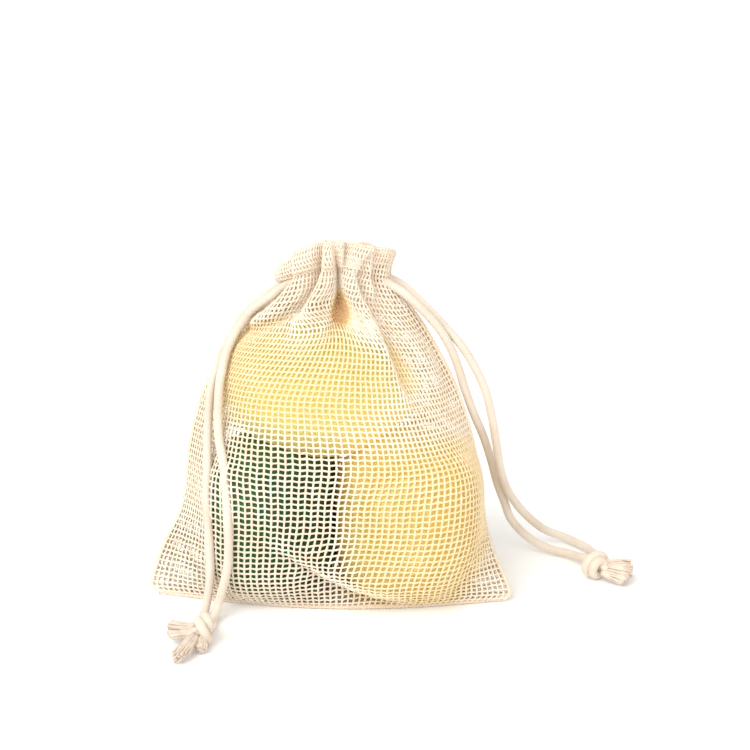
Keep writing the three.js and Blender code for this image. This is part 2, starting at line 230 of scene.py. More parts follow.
def ramp(tree, value, stops):
    """Colours at given values, with even changes between them."""
    made = node(tree, "ShaderNodeValToRGB", {"Fac": value})
    elements = made.color_ramp.elements
    while len(elements) < len(stops):
        elements.new(0.5)
    for element, (position, colour) in zip(elements, stops):
        element.position = position
        element.color = (*colour, 1)
    return made.outputs["Color"]


def colour_in(tree, bsdf, colour):
    """Gives a surface its colour, also for the little light of its own that it may have."""
    for socket in ("Base Color", "Emission Color"):
        tree.links.new(colour, bsdf.inputs[socket])


def relief(tree, bsdf, height, strength, distance):
    """Gives a surface a fine relief."""
    bump = node(tree, "ShaderNodeBump", {"Height": height, "Strength": strength, "Distance": distance})
    tree.links.new(bump.outputs["Normal"], bsdf.inputs["Normal"])


def cotton(name, dark, light, fibre, bump, patch=60, painted_fruit_light=None, painted_hollow_shade=None, glow=0.0):
    """Undyed cotton in a cream that varies from place to place, with fine fibres.

    Where colours of painted fruit light and painted hollow shade are given, a point's attribute leads
    from the cream to them.
    """
    material, tree, bsdf = shader(
        name, COTTON_ROUGHNESS, Specular_IOR_Level=COTTON_SHINE, Emission_Strength=glow)
    where = place(tree)
    patches = node(tree, "ShaderNodeTexNoise", {"Vector": where, "Scale": patch, "Detail": 4.0})
    mixed = patches.outputs["Fac"]
    stops = [(0.3, dark), (0.7, light)]
    if painted_fruit_light:
        # painted yellow light near a fruit and painted shade in the hollow, from a value on each point
        tint = node(tree, "ShaderNodeAttribute", attribute_name="painted_light_and_shade").outputs["Fac"]
        mixed = multiply_add(tree, mixed, PATCHES_BESIDE_PAINTED_LIGHT, tint)
        stops = [(0.09, dark), (0.21, light), (0.68, painted_fruit_light), (1.0, painted_hollow_shade)]
    colour_in(tree, bsdf, ramp(tree, mixed, stops))
    fibres = node(tree, "ShaderNodeTexNoise", {
        "Vector": where, "Scale": fibre, "Detail": 3.0, "Roughness": 0.7,
    })
    relief(tree, bsdf, fibres.outputs["Fac"], bump, COTTON_RELIEF)
    return material


def peel(name, stops, pore_scale, bump, roughness, shine, axis, across, speck, glow=0.0, low_glow=None):
    """Fruit skin with small pores, in a colour that changes along an axis and is softly mottled.

    Its glow is painted light, standing in for the light that reaches it through the net. It may differ at
    the low end of the axis.
    """
    material, tree, bsdf = shader(name, roughness, Specular_IOR_Level=shine, Emission_Strength=glow)
    where = place(tree)
    along = node(tree, "ShaderNodeSeparateXYZ", {"Vector": where}).outputs[axis]
    mottle = node(tree, "ShaderNodeTexNoise", {
        "Vector": where, "Scale": PEEL_MOTTLE, "Detail": 5.0, "Roughness": 0.6,
    })
    mixed = multiply_add(tree, mottle.outputs["Fac"], speck, spread(tree, along, *across))
    colour_in(tree, bsdf, ramp(tree, mixed, stops))
    if low_glow:
        fading = spread(tree, along, *across, low_glow, glow)
        tree.links.new(fading, bsdf.inputs["Emission Strength"])
    pores = node(tree, "ShaderNodeTexVoronoi", {"Vector": where, "Scale": pore_scale, "Randomness": 1.0})
    relief(tree, bsdf, spread(tree, pores.outputs["Distance"], 0.0, 0.6), bump, PEEL_RELIEF)
    return material


CREAM = ((0.89, 0.76, 0.61), (0.93, 0.84, 0.73))  # dark, light
# The net's threads get painted yellow light where they lie over a yellow fruit, and painted orange-brown
# shade in the hollow between the folds.
NET_COTTON = cotton(
    "net_cotton", *CREAM, fibre=2600.0, bump=0.5,
    painted_fruit_light=(0.92, 0.75, 0.46), painted_hollow_shade=(0.70, 0.46, 0.24),
)
# The lining's glow is painted light that lifts the shade inside the frill.
CASING_COTTON = cotton("casing_cotton_painted_glow", *CREAM, fibre=2600.0, bump=0.5, glow=0.16)
SEAM_COTTON = cotton(
    "seam_cotton", (0.82, 0.66, 0.50), (0.88, 0.76, 0.62), fibre=2200.0, bump=0.6)
CORD_COTTON = cotton(
    "cord_cotton", (0.76, 0.655, 0.55), (0.84, 0.765, 0.67), fibre=1800.0, bump=0.6)
FRAY_COTTON = cotton(
    "fray_cotton", (0.70, 0.58, 0.48), (0.85, 0.76, 0.67), fibre=2600.0, bump=0.6, patch=300)
# The lemon's glow is painted light, stronger towards its bottom, where it lifts the shade.
LEMON_PEEL = peel(
    "lemon_peel",
    [
        (0.1, (0.93, 0.68, 0.19)),
        (0.4, (0.91, 0.78, 0.26)),
        (0.65, (0.88, 0.79, 0.26)),
        (1.0, (0.88, 0.78, 0.24)),
    ],
    pore_scale=620.0, bump=0.6, roughness=0.42, shine=0.45,
    axis="Z", across=(0.062, 0.124), speck=0.25, glow=0.1, low_glow=0.34,
)
# The golden fruit's faint glow is painted light.
GOLDEN_PEEL = peel(
    "golden_peel",
    [
        # brown at the left end: painted shade where it meets the green fruit
        (0.08, (0.26, 0.14, 0.05)),
        (0.17, (0.62, 0.42, 0.12)),
        (0.27, (0.88, 0.70, 0.23)),
        (0.6, (0.92, 0.76, 0.27)),
        (1.0, (0.90, 0.70, 0.22)),
    ],
    pore_scale=560.0, bump=0.6, roughness=0.42, shine=0.45,
    axis="X", across=(0.0, 0.068), speck=0.2, glow=0.04,
)
# The green fruit is lighter on its left and darker towards its right: painted light and shade.
GREEN_PEEL = peel(
    "green_peel",
    [
        (0.0, (0.11, 0.26, 0.10)),
        (0.45, (0.05, 0.115, 0.05)),
        (1.0, (0.03, 0.045, 0.02)),
    ],
    pore_scale=420.0, bump=0.8, roughness=0.6, shine=0.03,
    axis="X", across=(-0.035, 0.035), speck=0.3,
)


# The cords, with the same routes as their solids, in millimetres
CORD_DIAMETER = 4
CORD_LEFT_OUTER = [
    (-30.6, -0.8, 136.6), (-34, -0.6, 133.6), (-38.1, -0.6, 129.6), (-42, -0.8, 125.5),
    (-45.1, -1.6, 120.1), (-48.4, -6.3, 114.5), (-51, -11.6, 109.1), (-52.1, -13.2, 104.8),
    (-53.7, -15.1, 100.6), (-54.5, -17.5, 95.6), (-54.9, -20, 90.3), (-55.3, -23.7, 80.5),
    (-54.9, -31.4, 66.5), (-54.4, -39.6, 52.5), (-53.2, -44.3, 37), (-52.8, -45.6, 20.9),
    (-53.6, -46.6, 11.3), (-54.7, -48.8, 5.2), (-55.4, -55.6, 2.4), (-55.6, -68, 3.6),
]
CORD_LEFT_INNER = [
    (-28, -9.2, 138.2), (-32.8, -6.8, 134.3), (-37.2, -6.2, 130.6), (-40.2, -6.4, 126.6),
    (-43.7, -7.6, 121.4), (-46.5, -10.6, 115.8), (-48.2, -16, 110.7), (-49, -17.5, 106.2),
    (-49.8, -19.3, 102.1), (-50.3, -23.1, 93.9), (-49.8, -29, 79.1), (-47.1, -36, 68.3),
    (-45.1, -44.4, 57.9), (-44.1, -49.2, 46), (-43.8, -50.4, 32.8), (-44.9, -50.4, 22),
    (-47.3, -50.6, 12.4), (-49.2, -52, 5.6), (-50.3, -58, 2.4), (-50.4, -68, 3.6),
]
CORD_RIGHT_OUTER = [
    (30.4, 3, 141.8), (40, 2, 133.3), (49.6, 1.4, 123.4), (58.2, 1, 113.5), (64.4, 1.5, 103.2),
    (69, 2, 93), (72.3, 3.5, 79.8), (74.7, 6.3, 65.8), (77, 11.6, 50.8), (80.1, 18, 38.7),
    (85.9, 26.9, 26), (93, 35, 15.4), (100.4, 41.6, 7.4), (110.2, 42.6, 3.2), (118, 34.6, 2.8),
    (122, 23.4, 4.2), (123.8, 13, 6.6),
]
CORD_RIGHT_INNER = [
    (30.5, -4.8, 140.8), (36.4, -4.8, 135.8), (46.2, -3.6, 125.2), (51.8, -2, 116.2),
    (56.1, 0.6, 105.4), (59.7, 3, 93), (63.9, 5.8, 80.2), (68.8, 10.1, 67), (72.7, 15.4, 53.1),
    (75.6, 20.8, 40.4), (79.5, 25.8, 28.1), (82.8, 29.6, 18), (87.9, 31.8, 10.8), (94.4, 31, 5.8),
    (102, 28.4, 3.2), (110.2, 23.6, 3.2), (115.4, 16.6, 4.4), (118.2, 10.6, 6.2),
]
# The stretch of each cord from inside the casing to its route, and where it goes into its knot
CASING_LEFT_OUTER = [(-18, -0.6, 143.6), (-25.4, -0.8, 140.4)]
CASING_LEFT_INNER = [(-17.4, -5, 144.4), (-22.6, -7.6, 142)]
CASING_RIGHT_OUTER = [(20, 1.8, 146.4), (26.4, 2.6, 144)]
CASING_RIGHT_INNER = [(19.6, -2.3, 146.1), (26, -4.4, 143.4)]
KNOT_LEFT_OUTER = [(-55, -73, 5.2)]
KNOT_LEFT_INNER = [(-52, -73, 5.4)]
KNOT_RIGHT_OUTER = [(124.2, 7, 7.4)]
KNOT_RIGHT_INNER = [(120.6, 6.4, 6.8)]
BRAID_STRANDS = 8  # in each of the two directions round the cord
BRAID_PITCH = 14  # length in which a strand goes once round
BRAID_RELIEF = 0.22  # depth between the strands
CORD_SIDES = 32
CORD_STEP = 0.5


def braid(path, radius, first=(0, 0, 1)):
    """A braided cord along a path: strands that cross over two and under two."""
    normals = carried_frame(path, first)
    along = unit(np.gradient(path, axis=0))
    aside = np.cross(along, normals)
    turn = np.arange(CORD_SIDES) / CORD_SIDES
    gone = np.arange(len(path))[:, None] * CORD_STEP / BRAID_PITCH
    a = BRAID_STRANDS * (turn[None] + gone)
    b = BRAID_STRANDS * (turn[None] - gone)
    over = (np.floor(a) + np.floor(b)) % 4 < 2
    share = np.where(over, a % 1, b % 1)
    height = np.sqrt(np.maximum(0, 1 - (2 * share - 1) ** 2))
    reach = radius - BRAID_RELIEF + BRAID_RELIEF * height
    angle = turn * 2 * math.pi
    ring = (
        np.cos(angle)[None, :, None] * normals[:, None]
        + np.sin(angle)[None, :, None] * aside[:, None]
    )
    points = path[:, None] + reach[..., None] * ring
    return points.reshape(-1, 3), tube_faces(1, len(path), CORD_SIDES)


for name, points in [
    ("cord_left_outer", CASING_LEFT_OUTER + CORD_LEFT_OUTER + KNOT_LEFT_OUTER),
    ("cord_left_inner", CASING_LEFT_INNER + CORD_LEFT_INNER + KNOT_LEFT_INNER),
    ("cord_right_outer", CASING_RIGHT_OUTER + CORD_RIGHT_OUTER + KNOT_RIGHT_OUTER),
    ("cord_right_inner", CASING_RIGHT_INNER + CORD_RIGHT_INNER + KNOT_RIGHT_INNER),
]:
    path = centripetal(points, CORD_STEP)
    piece = make_piece(f"braided_{name}", *braid(path, CORD_DIAMETER / 2), CORD_COTTON, "cord")
    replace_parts(piece, name)


# The knots: both cords of a pair run through turns of their own ends, which fray into tassels.
WRAP_STRAND = 2.15  # radius of a cord in the turns
WRAP_TURNS = 1.85
WRAP_RADIUS = 4.6
WRAP_LENGTH = 7
WRAP_SLANT = 1.5
WRAP_ENDS = 0.15  # share of the turns at each end in which the cord goes into the knot
WRAP_INNER = 0.2  # share of the radius at which it ends there
CORE_STRAND = 1.7  # radius of the two cords inside the turns
CORE_APART = 1.3  # from the middle of the knot to the middle of either cord
CORE_REACH = (-5, 6.4)  # along the knot
CORE_TWIST = 0.25
WRAP_POINTS = 200
CORE_POINTS = 60
KNOT_LIFT = 0.2  # from the floor to the lowest cord of a knot
YARNS = 80  # in a tassel
YARN_LENGTHS = (0.9, 1.05)
YARN_ROUNDING = 0.2  # how much shorter the outermost yarns are
YARN_RADIUS = (0.56, 0.5)  # at the root, at the tip
YARN_WAVE = 0.3
YARN_RIPPLE = 5
FAN_POWER = 0.8
YARN_FLOOR = 0.6  # lowest height of a yarn's middle
YARN_SIDES = 5
YARN_RINGS = 10


def tassel(start, direction, length, spread_to, root, width, thick):
    """The frayed end of a cord: yarns that spread from a root of half width root.

    They make a fan of half width width and half thickness thick.
    """
    ahead = unit(np.array(direction, float))
    wide = unit(np.array(spread_to, float) - np.dot(spread_to, ahead) * ahead)
    deep = np.cross(ahead, wide)
    t = np.linspace(0, 1, YARN_RINGS)
    turn = random.uniform(0, 2 * math.pi, YARNS)
    reach = np.sqrt(random.uniform(0, 1, YARNS))
    across = reach * np.cos(turn)
    over = reach * np.sin(turn)
    long = length * (1 - YARN_ROUNDING * across ** 2) * random.uniform(*YARN_LENGTHS, YARNS)
    paths = np.array(start, float) + (long[:, None] * t)[..., None] * ahead
    for axis, share, begin, half in ((wide, across, root, width), (deep, over, CORE_STRAND, thick)):
        wave = random.normal(0, YARN_WAVE, (YARNS, 2))
        fan = begin + (half - begin) * t ** FAN_POWER
        ripple = np.sin(YARN_RIPPLE * t + YARN_RIPPLE * wave[:, 1:])
        aside = share[:, None] * fan + wave[:, :1] * ripple * t
        paths = paths + aside[..., None] * axis
    paths[..., 2] = np.maximum(paths[..., 2], YARN_FLOOR)
    radii = np.tile(np.linspace(*YARN_RADIUS, YARN_RINGS), (YARNS, 1))
    return tubes(paths, np.broadcast_to(deep, paths.shape), radii, YARN_SIDES)


def knot(name, middle, forward, hand, tails, node_name):
    """A knot in a pair of cords, with its tassels."""
    ahead = unit(np.array(forward, float))
    level = unit(np.cross((0, 0, 1), ahead))
    upward = np.cross(ahead, level)
    share = np.linspace(0, 1, WRAP_POINTS)
    turn = hand * 2 * math.pi * WRAP_TURNS * share
    out = smooth(share / WRAP_ENDS) * smooth((1 - share) / WRAP_ENDS)
    reach = WRAP_RADIUS * (WRAP_INNER + (1 - WRAP_INNER) * out)
    along = (share - 0.5) * WRAP_LENGTH + WRAP_SLANT * np.cos(turn)
    ways = [(along, turn, reach, WRAP_STRAND)]
    along = np.linspace(*CORE_REACH, CORE_POINTS)
    for side in (-1, 1):
        turn = CORE_TWIST * along + side * math.pi / 2
        ways.append((along, turn, np.full(len(along), CORE_APART), CORE_STRAND))
    parts = []
    for along, turn, reach, radius in ways:
        path = np.array(middle, float) + along[:, None] * ahead
        path = path + (reach * np.cos(turn))[:, None] * level + (reach * np.sin(turn))[:, None] * upward
        path[:, 2] = np.maximum(path[:, 2], radius + KNOT_LIFT)
        parts.append(braid(resample(path, CORD_STEP), radius, upward))
    piece = make_piece(name, *join(parts), CORD_COTTON, "cord")
    fray = make_piece(name + "_fray", *join([tassel(*tail) for tail in tails]), FRAY_COTTON, "cord")
    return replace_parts(piece, node_name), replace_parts(fray, node_name)


# Each tassel: start, direction, length, the way it spreads, root, half width and half thickness
KNOTS_LEFT = knot("knotted_ends_left", (-51.6, -78, 7), (-0.75, -0.55, -0.25), 1, [
    ((-55.4, -78.6, 6.6), (-1, 0.1, -0.05), 12, (0, 0.89, 0.45), 3, 5.2, 2.6),
    ((-55, -82, 5.4), (-0.34, -1, -0.12), 18, (1, -0.2, 0.1), 2, 3.6, 2.2),
    ((-51.6, -82.4, 4.6), (-0.05, -1, -0.3), 7, (1, 0, 0), 2, 2.6, 2),
], "knot_left")
KNOTS_RIGHT = knot("knotted_ends_right", (123, 1.2, 7.2), (0.8, -0.5, -0.1), -1, [
    ((126, -0.6, 6.8), (1, -0.25, -0.12), 13.4, (0, 0.89, 0.45), 4.4, 7.6, 3),
], "knot_right")


# The three fruits: middle, half sizes along X, Y and Z, tilt about Y in degrees,
# and fullness, which is 2 for an ellipsoid
LEMON = ((-7.5, -2.4, 94.9), (43, 33.4, 33.4), 4, 2.0)
GREEN = ((-27.4, -14, 36.6), (30.4, 34.4, 35.8), 0, 3.3)
GOLDEN = ((34.2, -14, 38.4), (33.6, 35, 37.4), 0, 2.9)
FRUITS = (LEMON, GREEN, GOLDEN)


def tilted(angle):
    """A turn about Y."""
    cos = math.cos(math.radians(angle))
    sin = math.sin(math.radians(angle))
    return np.array([[cos, 0, sin], [0, 1, 0], [-sin, 0, cos]])


# The net's outline at each height, after the solid's, with the flare of its left edge
OUTLINE = np.array([
    # z, left, right, seam, front, back, power
    (0, 79.2, 78, -26.6, -39, 10, 1.2),
    (1.6, 81.8, 80.8, -26.4, -39.8, 12.4, 1.16),
    (4, 83, 82.2, -26, -41, 16, 1.1),
    (10, 81.8, 79.6, -23.6, -43.2, 20, 1),
    (18, 79, 75, -18.8, -45.4, 22.6, 0.82),
    (23, 76.8, 73.1, -16, -46.2, 23.2, 0.75),
    (30, 73, 70.4, -12, -47.2, 24, 0.66),
    (36, 70, 69.3, -10.4, -47, 24.5, 0.62),
    (46, 68, 67.6, -8, -46.8, 25.4, 0.57),
    (62, 67, 65.2, -3.6, -43.6, 27.8, 0.52),
    (77, 64, 61.6, -1, -39.4, 30, 0.5),
    (92, 59.4, 56.5, 0, -36.2, 31.6, 0.5),
    (102, 54.2, 52.2, 0, -33.8, 31.2, 0.5),
    (112, 47.8, 47.4, 0, -30.6, 28.2, 0.5),
    (122, 42.2, 43, 0, -26.6, 24.4, 0.5),
    (132, 36.6, 38.2, 0, -21.8, 20, 0.5),
    (142, 29.8, 32, 0, -16.8, 15.8, 0.5),
    (152, 23.4, 25.6, 0, -12, 12, 0.5),
])
NECK_HEIGHT = 152
RIM_HEIGHT = 164
NECK_DROOP = (9.6, 7.4)  # how much lower the left and right ends are than the middle
RIM_DROOP = (12.6, 4.6)
DROOP_START = 100  # height from which the rows begin to droop
MOUTH_TILT = 0.2  # fall of the rim towards the back
RIM = (25.6, 27.4, -12.4, 11)  # left, right, front, back

COLUMNS = 65  # meshes across a panel
FRONT_ROWS = 63  # meshes from the bottom seam to the neck
BACK_ROWS = 80
# Folds of the gathered net, from the rim down: height, x, depth and half width.
# Ridges have a depth below 0.
FRONT_FOLDS = [
    [(164, -19.5, 1.2, 5), (152, -19.2, 3.5, 3.4), (146, -24, 3.5, 4.4), (140, -29, 2.2, 5),
     (134, -34, 0, 5)],
    [(164, -12.5, -2.4, 6.5), (152, -13, -2, 5), (146, -16, -3.4, 5.5), (140, -20, -4.4, 6.5),
     (134, -28, -4, 8), (129, -35, -1.5, 8), (124, -41, 0, 8)],
    [(164, -4.8, 3.6, 3), (152, -6.2, 6, 3), (146, -8, 7.5, 3.2), (140, -11.5, 8, 4),
     (135, -17, 7, 6.5), (131, -26, 5.5, 8), (127, -35, 3.5, 8.5), (121, -43, 0, 9)],
    [(164, -1.8, -1.4, 3.4), (152, -1.4, -2.4, 3.6), (146, -3, -4, 4), (141, -5.4, -5.4, 4.6),
     (132, -10.5, -5, 6), (122, -14, -1.8, 8), (114, -15, 0, 8)],
    [(164, 2, 1.4, 2.2), (152, 3.2, 6, 2.4), (147, 3.8, 8.5, 2.8), (142, 4.4, 9.5, 4),
     (137, 4.8, 10, 6.4), (132, 5, 10, 8.4), (128, 5, 8.5, 10), (124, 4.6, 5, 11),
     (120, 4, 2, 12), (116, 4, 0, 12)],
    [(164, 8.6, 5, 3.4), (158, 8, 4.4, 3.2), (152, 7, 2, 2.8), (149, 7, 0, 2.6)],
    [(164, 13.4, -2.4, 5), (152, 8, -2.2, 3.4), (146, 9, -4, 3.6), (137, 13.2, -5.4, 4.6),
     (129, 18, -4.4, 5.4), (120, 24, -2.2, 6), (109, 29, 0, 6)],
    [(164, 18, 0, 3.4), (158, 15, 2, 3.2), (152, 12.6, 4, 3), (146, 13.6, 4.4, 3.2),
     (138, 17.4, 3, 4), (131, 20, 0, 4)],
    [(164, 17, -1.4, 4), (152, 15.8, -1.4, 3.6), (144, 19, -2, 4.4), (134, 25, 0, 5)],
    [(164, 20.8, 2, 4), (152, 19.4, 4, 3.4), (142, 21.6, 3.4, 4), (134, 23, 4.5, 5),
     (127.5, 25, 6.5, 5.5), (120, 29.8, 7.5, 6), (112, 35, 7, 6.5), (103, 39, 5, 7),
     (92, 44, 0, 8)],
    [(142, 28, 0, 5), (128, 33, -3, 6), (118, 38, -4, 7), (108, 43, -2.5, 7), (96, 48, 0, 7)],
]
BACK_FOLDS = [
    [(164, -20, 2.2, 6), (152, -18.2, 5.6, 4.6), (130, -25, 5, 7), (102, -36, 0, 10)],
    [(164, -14.5, -1.4, 6), (152, -13.5, -1.2, 4.6), (130, -19, -2, 7), (110, -24, 0, 9)],
    [(164, -9.5, 5.4, 6), (152, -9.2, 7, 4.2), (130, -11.5, 6, 7), (106, -14, 0, 9)],
    [(164, -5, -1.2, 5.5), (152, -5, -1.4, 4), (130, -6.5, -2, 6), (112, -8, 0, 8)],
    [(164, -0.5, 2.4, 5), (152, -1, 4.6, 3.6), (138, -1.5, 3.6, 5), (120, -2, 0, 8)],
    [(164, 3.6, -1.4, 5.5), (152, 3.6, -1.4, 4.2), (130, 4.5, -2, 6), (112, 5, 0, 8)],
    [(164, 8, 6, 6.5), (152, 8.6, 8.6, 4.6), (130, 10, 7, 7), (104, 11, 0, 10)],
    [(164, 14, -1.4, 6), (152, 13.6, -1.2, 4.2), (130, 18, -2, 6), (110, 22, 0, 8)],
    [(164, 20, 2.2, 6), (152, 18.8, 5.6, 4.4), (130, 27, 5, 7), (98, 36, 0, 10)],
]
FOLD_SIDE = 0.75  # share of a fold's half width in which it goes down
FOLD_GATHER = 0.04  # how much closer the columns lie in a fold, for each millimetre of its depth
FOLD_LIMIT = 0.85  # share of the way to the middle of the bag that a fold may go
FOLD_EASING = 0.2
CROWDING = 0.45  # how much closer the columns lie beside the lemon, where the bag is narrower
CROWD_BESIDE = (18, 44)  # from the lemon's middle: where this starts, where it is full
CROWD_BELOW = (50, 80)  # heights between which it sets in
CROWD_ABOVE = (96, 120)  # and between which it ends
THREAD_LIFT = 0.8  # height of the lowest threads' middle above the floor
SEAM_GAP = 0.6  # from a panel's edge to the middle of the seam
ROW_POINTS = 600  # in a row while folds are pressed into it
SECTION_POINTS = 400
BOTTOM_LEVELS = 40  # sections under the fruit, before a panel is divided into its rows
LEVELS = 160  # sections from the floor to the neck


def station(z):
    """Left, right, seam, front, back and power of the outline at a height."""
    return [np.interp(z, OUTLINE[:, 0], OUTLINE[:, k]) for k in range(1, 7)]


def droop(x, left, right, depth):
    """How much lower a row is at x than in the middle."""
    return np.where(x < 0, depth[0] * (x / left) ** 2, depth[1] * (x / right) ** 2)


def evenly(points, gather=1.0, count=COLUMNS):
    """A row of points resampled at equal steps, which are smaller where it is gathered."""
    steps = np.linalg.norm(np.diff(points, axis=0), axis=1)
    gone = np.cumsum([0, *(steps * (np.ones(len(points)) * gather)[1:])])
    wanted = np.linspace(0, gone[-1], count + 1)
    return np.stack([np.interp(wanted, gone, points[:, k]) for k in range(3)], 1)


def fold_in(row, z, sign, middle):
    """Presses the folds of a panel into a row, towards the middle of the bag.

    Returns the row and how closely its threads are gathered at each point.
    """
    inward = np.zeros(len(row))
    beside = rise(abs(row[:, 0] - LEMON[0][0]), *CROWD_BESIDE)
    gather = 1 + CROWDING * beside * rise(z, *CROWD_BELOW) * rise(z, *CROWD_ABOVE[::-1])
    for fold in FRONT_FOLDS if sign < 0 else BACK_FOLDS:
        heights, *rest = np.array(fold[::-1], float).T
        if z > heights[0]:
            x, depth, half = (np.interp(z, heights, values) for values in rest)
            share = smooth((1 - abs(row[:, 0] - x) / half) / FOLD_SIDE)
            inward += depth * share
            gather += FOLD_GATHER * max(0, depth) * share
    out = row[:, :2] - middle
    size = np.linalg.norm(out, axis=1)
    pressed = row.copy()
    pressed[:, :2] -= out * (np.minimum(inward, FOLD_LIMIT * size) / size)[:, None]
    return pressed, gather


def folded(grid, sign):
    """A settled panel with its folds pressed in, as far as the fruit lets them."""
    made = grid.copy()
    columns = np.arange(COLUMNS + 1)
    wanted = np.linspace(0, COLUMNS, ROW_POINTS)
    for j, row in enumerate(grid):
        z = min(row[COLUMNS // 2, 2], NECK_HEIGHT)
        fine = np.stack([np.interp(wanted, columns, row[:, k]) for k in range(3)], 1)
        left, right, seam = station(z)[:3]
        made[j] = evenly(*fold_in(fine, z, sign, np.array([(right - left) / 2, seam])))
    if sign < 0:
        crease(made)
    push_out(made)
    for axis in (0, 1, 0, 1):
        g = made.swapaxes(0, axis)
        g[1:-1] += FOLD_EASING * ((g[2:] + g[:-2]) / 2 - g[1:-1])
    push_out(made)
    return made


# A slanting crease of slack net under the fruit, on the front panel: x and height along it
CREASE = [(-32, 41), (-22, 35.6), (-9, 28), (0, 21.6), (10, 15.6), (21, 11), (34, 7.6), (46, 5.6)]
CREASE_RISE = (5, -1, 2.4)  # height of the ridge, its place above the line, its half width
CREASE_DIP = (3, -6, 3)  # depth of the hollow below it, with the same two values
CREASE_GATHER = 0.9  # how strongly the net is drawn towards the line
CREASE_BELOW = 0.4  # share of that below the line
CREASE_REACH = 7.5
CREASE_FADE = (0.3, 0.35)  # shares of its length in which it sets in and ends
CREASE_POINTS = 120


def bell(away, size, middle, half):
    """A smooth hump."""
    return size * np.exp(-((away - middle) / half) ** 2)


def crease(grid):
    """Draws the net together along the crease, which stands out over a hollow below it."""
    line = np.array(CREASE, float)
    gone = np.cumsum([0, *np.linalg.norm(np.diff(line, axis=0), axis=1)])
    share = np.linspace(0, 1, CREASE_POINTS)
    line = np.stack([np.interp(share * gone[-1], gone, line[:, k]) for k in (0, 1)], 1)
    across = unit(np.gradient(line, axis=0)) @ np.array([[0, 1], [-1, 0]])
    flat = grid[..., [0, 2]]
    nearest = np.linalg.norm(flat[..., None, :] - line, axis=-1).argmin(axis=-1)
    away = ((flat - line[nearest]) * across[nearest]).sum(axis=-1)
    fade_in, fade_out = CREASE_FADE
    strength = smooth(share / fade_in)[nearest] * smooth((1 - share) / fade_out)[nearest]
    raised = bell(away, *CREASE_RISE) - bell(away, *CREASE_DIP)
    drawn = np.where(away > 0, 1, CREASE_BELOW) * CREASE_GATHER * away * bell(away, 1, 0, CREASE_REACH)
    grid[1:, :, 1] -= (strength * raised)[1:]
    grid[1:, :, ::2] -= ((strength * drawn)[..., None] * across[nearest])[1:]


def section(z, sign):
    """One panel of the outline at a height, at equal steps from the left seam to the right one."""
    left, right, seam, front, back, power = station(z)
    across = -np.cos(np.linspace(0, math.pi, SECTION_POINTS))
    x = np.where(across < 0, left, right) * across
    reach = back - seam if sign > 0 else seam - front
    y = seam + sign * np.maximum(reach * (1 - across ** 2) ** power, SEAM_GAP)
    sag = rise(z, DROOP_START, NECK_HEIGHT)
    height = np.maximum(z - sag * droop(x, left, right, NECK_DROOP), THREAD_LIFT)
    return evenly(np.stack([x, y, height], 1))


def panel_rows(sign, rows):
    """A panel before it settles: columns at equal steps up the outline."""
    levels = []
    if sign > 0:
        start = section(0, -1)
        end = section(0, 1)
        start[:, 1] += SEAM_GAP
        levels += [start + (end - start) * t for t in np.linspace(0, 1, BOTTOM_LEVELS, endpoint=False)]
    levels += [section(z, sign) for z in np.linspace(0, NECK_HEIGHT, LEVELS)]
    levels = np.array(levels)
    return np.stack([evenly(levels[:, i], count=rows) for i in range(COLUMNS + 1)], 1)


# Settling of a panel on the fruit
STEPS = 260
SWEEPS = 6
DAMPING = 0.9
GRAVITY = 0.0025
TAUT = 0.985  # a thread's length at rest, as a share of its length before the panel settles
YIELD = 0.12  # share of its stiffness with which a thread resists being pushed together
SHEAR = 0.03
BEND = 0.02
NET_CLEARANCE = 0.9  # from a fruit's skin to the middle of a thread


def pull(grid, axis, rest):
    """Draws neighbours along one thread direction to their distance."""
    g = grid.swapaxes(0, axis)
    for parity in (0, 1):
        a = g[parity:-1:2]
        b = g[parity + 1::2]
        apart = b - a
        size = np.maximum(np.linalg.norm(apart, axis=-1), 1e-6)
        excess = size - rest
        stiff = np.where(excess > 0, 0.5, 0.5 * YIELD)
        shift = apart * (stiff * excess / size)[..., None]
        a += shift
        b -= shift


def shear(grid, rest):
    """Draws the diagonals of the meshes to their length."""
    for a, b in (
        (grid[:-1, :-1], grid[1:, 1:]),
        (grid[:-1, 1:], grid[1:, :-1]),
    ):
        apart = b - a
        size = np.maximum(np.linalg.norm(apart, axis=-1), 1e-6)
        shift = apart * (SHEAR * (size - rest) / size)[..., None]
        a += shift
        b -= shift


def push_out(grid):
    """Moves points out of the fruit and the floor."""
    for middle, half, tilt, full in FRUITS:
        turn = tilted(tilt)
        local = (grid - np.array(middle)) @ turn
        size = (np.abs(local / (np.array(half) + NET_CLEARANCE)) ** full).sum(axis=-1) ** (1 / full)
        inside = size < 1
        local[inside] /= size[inside][:, None]
        grid[inside] = local[inside] @ turn.T + np.array(middle)
    grid[..., 2] = np.maximum(grid[..., 2], THREAD_LIFT)


def settle(grid, steps):
    """Lets a panel that is held at its four edges settle on the fruit."""
    held = grid.copy()
    rest_across = TAUT * np.linalg.norm(np.diff(grid, axis=1), axis=-1).mean(axis=1)
    rest_along = TAUT * np.linalg.norm(np.diff(grid, axis=0), axis=-1).mean(axis=0)
    diagonal = math.hypot(rest_across.mean(), rest_along.mean())

    def hold():
        grid[0], grid[-1] = held[0], held[-1]
        grid[:, 0], grid[:, -1] = held[:, 0], held[:, -1]

    previous = grid.copy()
    for _ in range(steps):
        moved = grid + DAMPING * (grid - previous)
        moved[..., 2] -= GRAVITY
        previous = grid
        grid = moved
        for _ in range(SWEEPS):
            pull(grid, 1, rest_across)
            pull(grid, 0, rest_along)
            shear(grid, diagonal)
            hold()
        for axis in (0, 1):
            g = grid.swapaxes(0, axis)
            g[1:-1] += BEND * ((g[2:] + g[:-2]) / 2 - g[1:-1])
        push_out(grid)
        hold()
    return grid


# The frill and its lining
PUFF = 2.4
PUFF_ENDS = (0.5, -0.3)  # share of the puff at the left and right ends
PUFF_POWER = 0.8
FOLD_SINK = 0.22  # how much the rim sinks for each millimetre that a fold is pressed in
